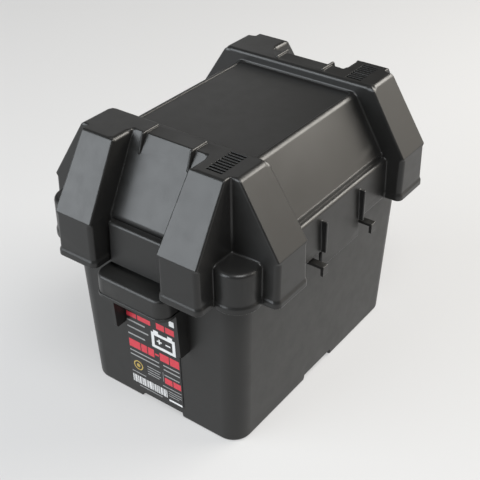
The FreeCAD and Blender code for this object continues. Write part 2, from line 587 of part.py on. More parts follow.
def hexa(x, y0, y1, z, af):
    r = af / 2 / math.cos(math.radians(30))
    p = [V(x + r * math.cos(math.radians(a)), y0, z + r * math.sin(math.radians(a))) for a in range(0, 360, 60)]
    return Part.Face(Part.makePolygon(p + [p[0]])).extrude(V(0, y1 - y0, 0))


zb = TERM_TOP - 9.0
bolts, nuts, washers, seals = [], [], [], []
for x in term_x:
    b = Part.makeCylinder(3.0, 18.0, V(x, STRAP_Y - 10.0, zb), V(0, 1, 0))
    b = fuse([b, hexa(x, STRAP_Y - 7.35, STRAP_Y - 3.35, zb, 10.0)])
    b = b.cut(box(x - 9, x + 9, STRAP_Y - 12, STRAP_Y - 7.35, zb - 9, zb + 9))
    bolts.append(b)
    nuts.append(hexa(x, STRAP_Y + 3.35, STRAP_Y + 8.0 - 0.0, zb, 10.0).cut(Part.makeCylinder(3.02, 12, V(x, STRAP_Y, zb), V(0, 1, 0))))
    for y in (STRAP_Y - 3.35, STRAP_Y + 1.75):
        w = Part.makeCylinder(6.0, 1.6, V(x, y, zb), V(0, 1, 0)).cut(Part.makeCylinder(3.25, 3, V(x, y - 0.5, zb), V(0, 1, 0)))
        washers.append(w)
    s = Part.makeCylinder(7.95, 9.0, V(x, STRAP_Y, COVER_TOP - 9.0)).cut(Part.makeCylinder(TERM_R + 0.05, 12, V(x, STRAP_Y, COVER_TOP - 10)))
    seals.append(s)
export(Part.makeCompound(bolts), "terminal_bolts")
export(Part.makeCompound(nuts), "terminal_nuts")
export(Part.makeCompound(washers), "terminal_washers")
export(Part.makeCompound(seals), "terminal_seals")

n_pos, n_neg = 4, 5
stack = n_pos * PLATE_P + n_neg * PLATE_N + (n_pos + n_neg - 1) * SEP_T
for i, x0 in enumerate(cell_x):
    x = x0 + (cell_w - stack) / 2
    sp = 1 if i % 2 == 0 else -1          # side of the positive strap
    pos, neg, sep = [], [], []
    for k in range(n_pos + n_neg):
        th = PLATE_N if k % 2 == 0 else PLATE_P
        s = -sp if k % 2 == 0 else sp
        pl = box(x, x + th, -PLATE_Y, PLATE_Y, PLATE_Z0, PLATE_Z1)
        lug = box(x, x + th, s * STRAP_Y - 6.0, s * STRAP_Y + 6.0, PLATE_Z1, STRAP_Z0 + 1.0)
        (neg if k % 2 == 0 else pos).extend([pl, lug])
        x += th
        if k < n_pos + n_neg - 1:
            sep.append(box(x, x + SEP_T, -PLATE_Y - 1.2, PLATE_Y + 1.2, PLATE_Z0 - 1.0, PLATE_Z1 + 3.0))
            x += SEP_T
    xa, xb = x0 + 0.6, x0 + cell_w - 0.6
    pos.append(box(xa, xb, sp * STRAP_Y - 8.0, sp * STRAP_Y + 8.0, STRAP_Z0, STRAP_Z1))
    neg.append(box(xa, xb, -sp * STRAP_Y - 8.0, -sp * STRAP_Y + 8.0, STRAP_Z0, STRAP_Z1))
    export(fuse(pos), "cell%d_positive_plates" % (i + 1))
    export(fuse(neg), "cell%d_negative_plates" % (i + 1))
    export(Part.makeCompound(sep), "cell%d_separators" % (i + 1))

links = []
for i, s in enumerate(link_side):
    xp = cell_x[i] + cell_w
    links.append(box(xp - 0.6, xp + PART_T + 0.6, s * STRAP_Y - 4.6, s * STRAP_Y + 4.6, STRAP_Z0 + 0.9, STRAP_Z1 - 0.9))
export(Part.makeCompound(links), "intercell_links")
print("done")
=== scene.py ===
import bpy, bmesh, math
import numpy as np
from mathutils import Vector, Matrix, Quaternion


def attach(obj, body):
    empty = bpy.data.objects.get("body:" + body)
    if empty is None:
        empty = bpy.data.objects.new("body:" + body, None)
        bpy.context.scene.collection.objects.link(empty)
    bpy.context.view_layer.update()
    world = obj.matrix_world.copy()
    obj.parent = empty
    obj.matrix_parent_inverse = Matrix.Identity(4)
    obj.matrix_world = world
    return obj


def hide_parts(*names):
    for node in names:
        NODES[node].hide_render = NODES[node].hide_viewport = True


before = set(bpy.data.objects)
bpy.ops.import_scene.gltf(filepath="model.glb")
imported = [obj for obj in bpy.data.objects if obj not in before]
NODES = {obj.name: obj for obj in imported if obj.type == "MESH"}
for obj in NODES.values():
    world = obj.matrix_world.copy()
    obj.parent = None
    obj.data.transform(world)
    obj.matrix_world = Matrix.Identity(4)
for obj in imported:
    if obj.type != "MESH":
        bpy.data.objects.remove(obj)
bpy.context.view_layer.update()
scene = bpy.context.scene


# ------------------------------------------------------------------ helpers
def link(o):
    scene.collection.objects.link(o)
    return o


def new_mat(name):
    m = bpy.data.materials.new(name)
    m.use_nodes = True
    nt = m.node_tree
    for n in list(nt.nodes):
        nt.nodes.remove(n)
    out = nt.nodes.new("ShaderNodeOutputMaterial")
    bs = nt.nodes.new("ShaderNodeBsdfPrincipled")
    nt.links.new(bs.outputs[0], out.inputs[0])
    return m, nt, bs


def node(nt, kind, **kw):
    n = nt.nodes.new(kind)
    for k, v in kw.items():
        setattr(n, k, v)
    return n


def mathn(nt, op, a, b=None, clamp=False):
    n = nt.nodes.new("ShaderNodeMath")
    n.operation = op
    n.use_clamp = clamp
    for i, v in enumerate((a, b)):
        if v is None:
            continue
        if isinstance(v, (int, float)):
            n.inputs[i].default_value = v
        else:
            nt.links.new(v, n.inputs[i])
    return n.outputs[0]


def noise(nt, vec, scale, detail=3.0, rough=0.55):
    n = nt.nodes.new("ShaderNodeTexNoise")
    n.inputs["Scale"].default_value = scale
    n.inputs["Detail"].default_value = detail
    n.inputs["Roughness"].default_value = rough
    nt.links.new(vec, n.inputs["Vector"])
    return n.outputs["Fac"]


def ramp(nt, fac, stops):
    n = nt.nodes.new("ShaderNodeValToRGB")
    el = n.color_ramp.elements
    while len(el) > 1:
        el.remove(el[-1])
    el[0].position, el[0].color = stops[0][0], stops[0][1]
    for p, c in stops[1:]:
        e = el.new(p)
        e.color = c
    nt.links.new(fac, n.inputs["Fac"])
    return n.outputs["Color"]


def maprange(nt, fac, a, b, c, d):
    n = nt.nodes.new("ShaderNodeMapRange")
    n.inputs["From Min"].default_value = a
    n.inputs["From Max"].default_value = b
    n.inputs["To Min"].default_value = c
    n.inputs["To Max"].default_value = d
    nt.links.new(fac, n.inputs["Value"])
    return n.outputs["Result"]


def grey(v, a=1.0):
    return (v, v, v, a)


# ------------------------------------------------------------------ plastics
def moulded(name, base, rough, mott=0.06, grain=0.05, seed=0.0, spec=0.5, flow=(1, 1, 1), wear=0.35):
    """Injection-moulded plastic: fine spark-eroded grain, faint flow mottling, rubbed edges."""
    m, nt, bs = new_mat(name)
    tc = node(nt, "ShaderNodeTexCoord")
    mp = node(nt, "ShaderNodeMapping")
    mp.inputs["Location"].default_value = (seed, seed * 0.7, seed * 1.3)
    mp.inputs["Scale"].default_value = flow
    nt.links.new(tc.outputs["Object"], mp.inputs["Vector"])
    v = mp.outputs["Vector"]
    big = noise(nt, v, 14.0, 4.0, 0.6)
    mid = noise(nt, v, 90.0, 3.0, 0.6)
    fine = noise(nt, v, 1500.0, 2.0, 0.5)
    # colour: base with faint cloudiness
    f = mathn(nt, "ADD", mathn(nt, "MULTIPLY", big, 0.7), mathn(nt, "MULTIPLY", mid, 0.3))
    c_lo = tuple(x * (1 - mott) for x in base) + (1,)
    c_hi = tuple(x * (1 + mott) for x in base) + (1,)
    col = ramp(nt, f, [(0.32, c_lo), (0.68, c_hi)])
    # rubbed edges from the surface's own pointiness
    geo = node(nt, "ShaderNodeNewGeometry")
    edge = maprange(nt, geo.outputs["Pointiness"], 0.54, 0.64, 0.0, 1.0)
    edge = mathn(nt, "MULTIPLY", edge, maprange(nt, mid, 0.35, 0.65, 0.2, 1.0), clamp=True)
    mix = node(nt, "ShaderNodeMix", data_type="RGBA")
    nt.links.new(mathn(nt, "MULTIPLY", edge, wear), mix.inputs["Factor"])
    nt.links.new(col, mix.inputs["A"])
    mix.inputs["B"].default_value = tuple(min(1, x * 2.2 + 0.012) for x in base) + (1,)
    nt.links.new(mix.outputs["Result"], bs.inputs["Base Color"])
    # roughness: grain, cloudiness, polish on worn edges
    r = mathn(nt, "ADD", maprange(nt, mid, 0.3, 0.7, rough - 0.035, rough + 0.035), maprange(nt, big, 0.3, 0.7, -0.012, 0.012))
    r = mathn(nt, "SUBTRACT", r, mathn(nt, "MULTIPLY", edge, 0.08))
    nt.links.new(r, bs.inputs["Roughness"])
    bs.inputs["Specular IOR Level"].default_value = spec
    bs.inputs["IOR"].default_value = 1.5
    bump = node(nt, "ShaderNodeBump")
    bump.inputs["Strength"].default_value = grain
    bump.inputs["Distance"].default_value = 0.0002
    h = mathn(nt, "ADD", fine, mathn(nt, "MULTIPLY", mid, 1.2))
    nt.links.new(h, bump.inputs["Height"])
    nt.links.new(bump.outputs["Normal"], bs.inputs["Normal"])
    return m


def metal(name, base, rough, scale=(1, 1, 1), strength=0.12, tint=0.15):
    m, nt, bs = new_mat(name)
    tc = node(nt, "ShaderNodeTexCoord")
    mp = node(nt, "ShaderNodeMapping")
    mp.inputs["Scale"].default_value = scale
    nt.links.new(tc.outputs["Object"], mp.inputs["Vector"])
    v = mp.outputs["Vector"]
    a = noise(nt, v, 60.0, 4.0, 0.6)
    b = noise(nt, v, 700.0, 2.0, 0.5)
    col = ramp(nt, a, [(0.3, tuple(x * (1 - tint) for x in base) + (1,)), (0.7, tuple(min(1, x * (1 + tint)) for x in base) + (1,))])
    nt.links.new(col, bs.inputs["Base Color"])
    bs.inputs["Metallic"].default_value = 1.0
    nt.links.new(mathn(nt, "ADD", maprange(nt, a, 0.3, 0.7, rough - 0.07, rough + 0.07), maprange(nt, b, 0.3, 0.7, -0.03, 0.03)), bs.inputs["Roughness"])
    bump = node(nt, "ShaderNodeBump")
    bump.inputs["Strength"].default_value = strength
    bump.inputs["Distance"].default_value = 0.0002
    nt.links.new(b, bump.inputs["Height"])
    nt.links.new(bump.outputs["Normal"], bs.inputs["Normal"])
    return m


def matt(name, base, rough, var=0.25, s1=80.0, s2=900.0, strength=0.4):
    m, nt, bs = new_mat(name)
    tc = node(nt, "ShaderNodeTexCoord")
    v = tc.outputs["Object"]
    a = noise(nt, v, s1, 4.0, 0.6)
    b = noise(nt, v, s2, 3.0, 0.6)
    f = mathn(nt, "ADD", mathn(nt, "MULTIPLY", a, 0.6), mathn(nt, "MULTIPLY", b, 0.4))
    col = ramp(nt, f, [(0.3, tuple(x * (1 - var) for x in base) + (1,)), (0.7, tuple(min(1, x * (1 + var)) for x in base) + (1,))])
    nt.links.new(col, bs.inputs["Base Color"])
    nt.links.new(maprange(nt, a, 0.3, 0.7, rough - 0.06, rough + 0.06), bs.inputs["Roughness"])
    bump = node(nt, "ShaderNodeBump")
    bump.inputs["Strength"].default_value = strength
    bump.inputs["Distance"].default_value = 0.0003
    nt.links.new(b, bump.inputs["Height"])
    nt.links.new(bump.outputs["Normal"], bs.inputs["Normal"])
    return m


def give(name, mat):
    o = NODES[name]
    o.data.materials.clear()
    o.data.materials.append(mat)


BLACK = (0.0130, 0.0129, 0.0125)
lid_mat = moulded("lid_plastic", BLACK, 0.34, seed=0.31, spec=0.4)
tub_mat = moulded("tub_plastic", (0.0140, 0.0139, 0.0132), 0.40, seed=1.7, spec=0.4)
latch_mat = moulded("latch_plastic", BLACK, 0.38, seed=2.9, spec=0.4)

# ------------------------------------------------------------------ lid shell as a distance field
MM = 0.001


def rmax(a, b, r):
    r = np.maximum(r, 1e-4)
    return np.minimum(-r, np.maximum(a, b)) + np.hypot(np.maximum(r + a, 0), np.maximum(r + b, 0))


def rmin(a, b, r):
    r = np.maximum(r, 1e-4)
    return np.maximum(r, np.minimum(a, b)) - np.hypot(np.maximum(r - a, 0), np.maximum(r - b, 0))


def ss(e0, e1, x):
    t = np.clip((x - e0) / (e1 - e0), 0, 1)
    return t * t * (3 - 2 * t)


def pxz(x, z, n, p):
    l = math.hypot(n[0], n[1])
    return (n[0] * (x - p[0]) + n[1] * (z - p[1])) / l


def rbox2(x, y, hx, hy, r):
    qx, qy = x - (hx - r), y - (hy - r)
    return np.hypot(np.maximum(qx, 0), np.maximum(qy, 0)) + np.minimum(np.maximum(qx, qy), 0) - r


TOP, BREAK, RIM, WALL = 217.0, 167.9, 132.8, 2.6


def lid_field(x, y, z, neg_y=False, full=True):
    """Signed distance-like field of the lid for x, y >= 0, in mm. neg_y adds the vent slots of the -Y side."""
    one = np.zeros_like(x)
    # side pontoon bar
    sl = pxz(y, z, (49.1, 31.0), (65.7, 217.0))
    fc = pxz(y, z, (35.1, 0.3), (96.7, 167.9))
    xo = pxz(x, z, (49.1, 1.3), (96.3, 217.0))
    xi = pxz(x, z, (-49.1, 1.3), (65.4, 217.0))
    # the break is crisp; upright corners are wide below it, the slope's edges narrow above it
    ru = 3.8 - 2.5 * ss(165.2, 168.4, z)
    side = rmax(rmax(fc, sl, 0.2), np.maximum(xo, xi), ru)
    # between the end pontoons the recess slope takes over from the bar
    side = np.maximum(side, np.minimum(x - 78.0, 45.0 - y))
    # end pontoon
    sl = pxz(x, z, (49.1, 31.4), (102.5, 217.0))
    fc = pxz(x, z, (35.1, 0.1), (133.9, 167.9))
    yo = pxz(y, z, (49.1, 1.2), (59.3, 217.0))
    yi = np.maximum(pxz(y, z, (-49.1, 3.4), (31.5, 217.0)), 28.1 - y)
    end = np.maximum(rmax(rmax(fc, sl, 0.2), np.maximum(yo, yi), ru), 74.0 - x)
    # recess between the end pontoons, and the wall behind the latch
    rec = rmax(pxz(x, z, (49.5, 31.7), (82.3, 217.0)), x - 114.0, 0.7)
    rec = np.maximum(np.maximum(rec, y - 46.0), 72.0 - x)
    wall = rmax(x - 116.5, z - 162.0, 0.8)
    wall = np.maximum(np.maximum(wall, y - 40.0), 90.0 - x)
    rw = np.minimum(rec, wall)
    r_e = 1.4 - 0.6 * ss(166.0, 174.0, z)
    sides = rmin(rw, end, r_e)
    r_n = 1.5 + one
    sides = rmin(side, sides, r_n)
    r_top = (1.3 + 1.7 * ss(70.5, 67.0, x) + 2.0 * ss(28.5, 30.5, y) * ss(37.0, 34.5, y) * ss(84.0, 87.0, x) * ss(103.0, 100.0, x)
             + 1.0 * ss(60.5, 63.5, y) - 0.7 * ss(30.0, 28.0, y) * ss(76.0, 79.0, x))
    block = rmax(sides, z - TOP, r_top)
    # low panel with its shallow sunk field, long slopes, ledge and skirt
    sd = rbox2(x, y, 64.4, 49.2, 4.0)
    ztop = 209.0 - 0.75 * ss(0.55, -0.75, sd)
    roof = rmax(z - ztop, pxz(y, z, (41.1, 25.9), (52.4, 209.0)), 2.4)
    roof = np.maximum(roof, y - 78.5)
    roof = rmin(roof, rmax(y - 78.75, z - 168.3, 0.45), 0.25)
    skp = pxz(y, z, (32.1, 1.4), (83.1, 164.9))
    skirt = rmax(z - 164.9, skp, 2.7)
    mid = rmin(roof, skirt, 0.12)
    mid = np.maximum(mid, x - 80.0)
    r_a = 1.3 + 0.1 * ss(208.5, 202.0, z) - 0.5 * ss(176.0, 167.0, z)
    u = rmin(block, mid, r_a)
    # corner boss
    b = rmax(np.hypot(x - 104.5, y - 69.7) - 15.75, z - 163.0, 3.2)
    u = rmin(u, b, 1.5)
    plain = u
    # rim bead
    bead = rmax(u - 0.53, z - (RIM + 4.2), 0.8)
    bead = np.maximum(np.maximum(bead, 62.9 - x), 27.6 - y)
    u = rmin(u, bead, 2.4)
    # upright ribs on the skirt
    rib = rmax(rmax(np.abs(x - 25.5) - 1.05, y - 88.2, 0.6), np.maximum(z - 157.5, 131.0 - z), 0.5)
    rib = np.maximum(rib, 80.0 - y)
    u = rmin(u, rib, 0.7)
    # strap guides over the end blocks
    nose = rmax(z - 218.6, pxz(x, z, (13.6, 4.4), (86.4, 218.6)), 1.6)
    fin = rmax(np.abs(y - 20.5) - 1.1, nose, 1.1)
    fin = rmax(fin, np.maximum(70.0 - x, 204.5 - z), 0.7)
    u = rmin(u, fin, 0.5)
    # cavity
    cav = plain + WALL
    core = np.maximum(rbox2(x, y, 113.9, 78.2, 17.0), z - 159.5)
    cav = np.minimum(cav, core)
    f = rmax(u, -cav, 0.3)
    f = rmax(f, RIM - z, 0.45)
    tab = rmax(rmax(skp, np.abs(x) - 25.5, 0.8), -(skp + WALL), 0.5)
    tab = rmax(rmax(tab, 118.5 - z, 0.7), z - 137.0, 0.2)
    f = np.minimum(f, tab)
    # stops that sit on the tub's rim
    for bx in (12.0, 46.0):
        st = rmax(np.abs(x - bx) - 1.2, np.maximum(72.0 - y, 150.0 - z), 0.3)
        f = np.minimum(f, np.maximum(st, plain + 0.4))
    st = rmax(np.abs(y - 26.0) - 1.2, np.maximum(108.0 - x, 150.0 - z), 0.3)
    f = np.minimum(f, np.maximum(st, plain + 0.4))
    # opening behind the latch
    f = rmax(f, -np.maximum(np.maximum(y - 19.5, z - 158.0), 108.0 - x), 0.3)
    if neg_y:
        k = np.clip(np.round((x - 71.4) / 3.1), 0, 8)
        slot = np.maximum(np.abs(x - 71.4 - 3.1 * k) - 0.82, np.abs(y - 46.7) - 6.3)
        slot = np.maximum(slot, 208.0 - z)
        # the wall is thinned from inside round the vents
        slot = np.minimum(slot, np.maximum(np.maximum(np.abs(x - 83.8) - 14.6, np.abs(y - 46.7) - 7.6), np.maximum(z - (TOP - 1.0), 208.0 - z)))
        f = rmax(f, -slot, 0.04)
    return f


def field_at(p):
    """Field at points (n, 3), any sign of x and y."""
    x, y, z = np.abs(p[:, 0]), np.abs(p[:, 1]), p[:, 2]
    a = lid_field(x, y, z, False)
    m = p[:, 1] < 0
    if m.any():
        a[m] = lid_field(x[m], y[m], z[m], True)
    return a


def grad_at(p, h=0.02):
    """Gradient by four samples."""
    k = np.array([(1, -1, -1), (-1, -1, 1), (-1, 1, -1), (1, 1, 1)], float)
    g = np.zeros_like(p)
    for e in k:
        g += e[None] * field_at(p + e[None] * h)[:, None]
    return g / (4 * h)


def axis_steps(stops):
    out = [stops[0][0]]
    for (a, h), (b, _) in zip(stops[:-1], stops[1:]):
        n = max(1, int(round((b - a) / h)))
        out += [a + (b - a) * (i + 1) / n for i in range(n)]
    return np.array(out)


def surface_net(xs, ys, zs, v):
    ins = v < 0
    nx, ny, nz = v.shape
    c = np.zeros((nx - 1, ny - 1, nz - 1), np.int8)
    for i in (0, 1):
        for j in (0, 1):
            for k in (0, 1):
                c += ins[i:nx - 1 + i, j:ny - 1 + j, k:nz - 1 + k]
    act = (c > 0) & (c < 8)
    I, J, K = np.nonzero(act)
    idx = np.full(act.shape, -1, np.int32)
    idx[I, J, K] = np.arange(len(I), dtype=np.int32)
    acc = np.zeros((len(I), 3))
    cnt = np.zeros(len(I))
    corner = {}
    for i in (0, 1):
        for j in (0, 1):
            for k in (0, 1):
                corner[(i, j, k)] = v[I + i, J + j, K + k].astype(float)
    X, Y, Z = (xs[I], xs[I + 1]), (ys[J], ys[J + 1]), (zs[K], zs[K + 1])
    for a, b in [((0, 0, 0), (1, 0, 0)), ((0, 1, 0), (1, 1, 0)), ((0, 0, 1), (1, 0, 1)), ((0, 1, 1), (1, 1, 1)),
                 ((0, 0, 0), (0, 1, 0)), ((1, 0, 0), (1, 1, 0)), ((0, 0, 1), (0, 1, 1)), ((1, 0, 1), (1, 1, 1)),
                 ((0, 0, 0), (0, 0, 1)), ((1, 0, 0), (1, 0, 1)), ((0, 1, 0), (0, 1, 1)), ((1, 1, 0), (1, 1, 1))]:
        va, vb = corner[a], corner[b]
        m = (va < 0) != (vb < 0)
        t = np.where(m, va / np.where(m, va - vb, 1), 0)
        for ax, (G, ia, ib) in enumerate(((X, a[0], b[0]), (Y, a[1], b[1]), (Z, a[2], b[2]))):
            acc[:, ax] += np.where(m, G[ia] + t * (G[ib] - G[ia]), 0)
        cnt += m
    P = acc / cnt[:, None]
    quads = []
    s = ins[:-1, 1:-1, 1:-1] != ins[1:, 1:-1, 1:-1]
    i, j, k = np.nonzero(s)
    fl = ins[i, j + 1, k + 1]
    q = np.stack([idx[i, j, k], idx[i, j + 1, k], idx[i, j + 1, k + 1], idx[i, j, k + 1]], 1)
    q[~fl] = q[~fl][:, ::-1]
    quads.append(q)
    s = ins[1:-1, :-1, 1:-1] != ins[1:-1, 1:, 1:-1]
    i, j, k = np.nonzero(s)
    fl = ins[i + 1, j, k + 1]
    q = np.stack([idx[i, j, k], idx[i, j, k + 1], idx[i + 1, j, k + 1], idx[i + 1, j, k]], 1)
    q[~fl] = q[~fl][:, ::-1]
    quads.append(q)
    s = ins[1:-1, 1:-1, :-1] != ins[1:-1, 1:-1, 1:]
    i, j, k = np.nonzero(s)
    fl = ins[i + 1, j + 1, k]
    q = np.stack([idx[i, j, k], idx[i + 1, j, k], idx[i + 1, j + 1, k], idx[i, j + 1, k]], 1)
    q[~fl] = q[~fl][:, ::-1]
    quads.append(q)
    return P, np.concatenate(quads)


def build_lid():
    H = 0.85
    xs = axis_steps([(0.0, H), (22.5, 0.5), (28.5, H), (62.0, 0.7), (70.3, 0.36), (97.4, 0.7), (136.2, 0)])
    F = 0.35
    ys = axis_steps([(0.0, H), (18.8, 0.28), (22.2, H), (40.0, 0.4), (40.8, H), (52.4, 0.4), (53.6, H), (62.0, 0.75), (76.8, F), (80.2, 0.75), (99.2, 0)])
    zs = axis_steps([(117.3, 0.75), (138.5, H), (163.0, F), (170.2, H), (203.0, 0.6), (215.4, 0.4), (219.6, 0)])
    gx, gy, gz = np.meshgrid(xs, ys, zs, indexing="ij")
    plus = lid_field(gx, gy, gz, False).astype(np.float32)
    minus = lid_field(gx, gy, gz, True).astype(np.float32)
    both = np.concatenate([minus[:, :0:-1], plus], 1)
    v = np.concatenate([both[1:2], both], 0)
    fx = np.concatenate([-xs[1:2], xs])
    fy = np.concatenate([-ys[:0:-1], ys])
    print("field", round(time.time() - t0, 1), v.shape)
    P, Q = surface_net(fx, fy, zs, v)
    print("net", round(time.time() - t0, 1))
    for _ in range(3):
        g = grad_at(P)
        f = field_at(P)
        d = f / np.maximum((g * g).sum(1), 0.2)
        P = P - g * np.clip(d, -0.6, 0.6)[:, None]
    print("projected", round(time.time() - t0, 1))
    me = bpy.data.meshes.new("lid_moulding")
    me.vertices.add(len(P))
    me.vertices.foreach_set("co", (P * MM).astype(np.float32).ravel())
    me.loops.add(Q.size)
    me.loops.foreach_set("vertex_index", Q.astype(np.int32).ravel())
    me.polygons.add(len(Q))
    me.polygons.foreach_set("loop_start", np.arange(0, Q.size, 4, dtype=np.int32))
    me.update(calc_edges=True)
    me.validate()
    print("lid quads", len(Q))
    bm = bmesh.new()
    bm.from_mesh(me)
    bmesh.ops.bisect_plane(bm, geom=bm.verts[:] + bm.edges[:] + bm.faces[:], dist=1e-7, plane_co=(0, 0, 0), plane_no=(1, 0, 0), clear_inner=True)
    bmesh.ops.dissolve_limit(bm, angle_limit=math.radians(0.7), use_dissolve_boundaries=False,
                             verts=bm.verts, edges=bm.edges, delimit=set())
    bmesh.ops.triangulate(bm, faces=bm.faces, quad_method="BEAUTY", ngon_method="BEAUTY")
    bm.to_mesh(me)
    bm.free()
    print("cleaned", round(time.time() - t0, 1))
    # the other end is the mirror image, joined along x = 0
    n = len(me.vertices)
    co = np.zeros(n * 3, np.float32)
    me.vertices.foreach_get("co", co)
    co = co.reshape(-1, 3)
    tri = np.zeros(len(me.polygons) * 3, np.int32)
    me.polygons.foreach_get("vertices", tri)
    tri = tri.reshape(-1, 3)
    seam = np.abs(co[:, 0]) < 2e-7
    co[seam, 0] = 0
    other = np.where(seam, np.arange(n), n - 1 + np.cumsum(~seam))
    co = np.concatenate([co, co[~seam] * np.array([-1, 1, 1], np.float32)])
    tri = np.concatenate([tri, other[tri][:, ::-1]]).astype(np.int32)
    bpy.data.meshes.remove(me)
    me = bpy.data.meshes.new("lid_moulding")
    me.vertices.add(len(co))
    me.vertices.foreach_set("co", co.ravel())
    me.loops.add(tri.size)
    me.loops.foreach_set("vertex_index", tri.ravel())
    me.polygons.add(len(tri))
    me.polygons.foreach_set("loop_start", np.arange(0, tri.size, 3, dtype=np.int32))
    me.update(calc_edges=True)
    me.validate()
    bad = bmesh.new()
    bad.from_mesh(me)
    print("open edges", sum(1 for e in bad.edges if len(e.link_faces) != 2))
    bad.free()
    me.polygons.foreach_set("use_smooth", np.ones(len(me.polygons), bool))
    co = np.zeros(len(me.vertices) * 3, np.float32)
    me.vertices.foreach_get("co", co)
    g = grad_at(co.reshape(-1, 3).astype(float) / MM, 0.05)
    g /= np.maximum(np.linalg.norm(g, axis=1), 1e-9)[:, None]
    me.normals_split_custom_set_from_vertices([tuple(n) for n in g])
    print("lid faces after clean-up", len(me.polygons))
    return link(bpy.data.objects.new("lid_moulding", me))


import time
t0 = time.time()
lid = build_lid()
print("lid built in", round(time.time() - t0, 1))
lid.data.materials.append(lid_mat)
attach(lid, "lid")
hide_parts("lid_shell")

# ------------------------------------------------------------------ carried-over CAD nodes
give("tub", tub_mat)
give("latch_tongue_left", latch_mat)
give("latch_tongue_right", latch_mat)
give("label", moulded("label_film", (0.008, 0.008, 0.008), 0.35, seed=4.0, grain=0.01, wear=0.0))
give("battery_case", moulded("case_plastic", (0.09, 0.095, 0.10), 0.5, seed=5.0))
cover_mat = moulded("cover_plastic", (0.05, 0.05, 0.055), 0.45, seed=6.0)
give("battery_cover", cover_mat)
give("vent_strip", cover_mat)
give("valve_caps", matt("cap_rubber", (0.02, 0.02, 0.02), 0.75, var=0.15, strength=0.2))
give("terminal_seals", matt("seal_rubber", (0.30, 0.03, 0.03), 0.6, var=0.15, strength=0.2))
tin = metal("terminal_metal", (0.62, 0.60, 0.56), 0.34, scale=(1, 1, 0.2))
give("terminal_positive", tin)
give("terminal_negative", tin)
zinc = metal("bolt_steel", (0.60, 0.61, 0.62), 0.3, scale=(1, 1, 1))
for n in ("terminal_bolts", "terminal_nuts", "terminal_washers"):
    give(n, zinc)
give("intercell_links", metal("link_metal", (0.30, 0.31, 0.33), 0.5))
gp = matt("plate_grey", (0.22, 0.23, 0.25), 0.7)
bp = matt("plate_brown", (0.12, 0.06, 0.035), 0.8)
wp = matt("separator_white", (0.80, 0.80, 0.78), 0.9, var=0.08)
for i in range(1, 7):
    give("cell%d_positive_plates" % i, bp)
    give("cell%d_negative_plates" % i, gp)
    give("cell%d_separators" % i, wp)

# ------------------------------------------------------------------ label print: generic bars and pictograms, no lettering
def ink(name, base, rough=0.38):
    """Screen-printed ink: slightly uneven cover, fine mesh grain."""
    m, nt, bs = new_mat(name)
    tc = node(nt, "ShaderNodeTexCoord")
    v = tc.outputs["Object"]
    a = noise(nt, v, 260.0, 3.0, 0.6)
    b = noise(nt, v, 2600.0, 2.0, 0.5)
    f = mathn(nt, "ADD", mathn(nt, "MULTIPLY", a, 0.6), mathn(nt, "MULTIPLY", b, 0.4))
    col = ramp(nt, f, [(0.34, tuple(x * 0.86 for x in base) + (1,)), (0.66, tuple(min(1, x * 1.08) for x in base) + (1,))])
    nt.links.new(col, bs.inputs["Base Color"])
    nt.links.new(maprange(nt, a, 0.3, 0.7, rough - 0.05, rough + 0.05), bs.inputs["Roughness"])
    bump = node(nt, "ShaderNodeBump")
    bump.inputs["Strength"].default_value = 0.08
    bump.inputs["Distance"].default_value = 0.00005
    nt.links.new(b, bump.inputs["Height"])
    nt.links.new(bump.outputs["Normal"], bs.inputs["Normal"])
    return m


LAB = np.array([v.co[:] for v in NODES["label"].data.vertices])
LEAN = (110.5 - 106.2) / 135.0
LAB_X = float((LAB[:, 0] + LEAN * LAB[:, 2]).min())
LAB_TOP, LAB_LEFT = 0.1045, 0.0285
LAB_UP = Vector((-LEAN, 0, 1)).normalized()
LAB_RIGHT = Vector((0, -1, 0))
LAB_OUT = LAB_RIGHT.cross(LAB_UP).normalized()


def box_pts(a, b, c, d):
    return [(a, b), (c, b), (c, d), (a, d)]


def disc_pts(cx, cy, r, n=48):
    return [(cx + r * math.cos(2 * math.pi * i / n), cy + r * math.sin(2 * math.pi * i / n)) for i in range(n)]


def print_layer(name, shapes, mat):
    """Flat closed shapes, in eighths of a millimetre right of and below the label's top left corner."""
    cu = bpy.data.curves.new(name, "CURVE")
    cu.dimensions = "2D"
    cu.fill_mode = "BOTH"
    cu.extrude = 0.00004
    for pts in shapes:
        sp = cu.splines.new("POLY")
        sp.points.add(len(pts) - 1)
        for q, (a, b) in zip(sp.points, pts):
            q.co = (a / 8000.0, -b / 8000.0, 0, 1)
        sp.use_cyclic_u = True
    tmp = bpy.data.objects.new(name + "_outline", cu)
    me = bpy.data.meshes.new_from_object(tmp)
    bpy.data.objects.remove(tmp)
    bpy.data.curves.remove(cu)
    me.name = name
    o = Vector((LAB_X - LEAN * LAB_TOP, LAB_LEFT, LAB_TOP))
    mt = Matrix((LAB_RIGHT, LAB_UP, LAB_OUT)).transposed().to_4x4()
    mt.translation = o
    me.transform(mt)
    me.materials.clear()
    me.materials.append(mat)
    ob = link(bpy.data.objects.new(name, me))
    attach(ob, "base")
    return ob


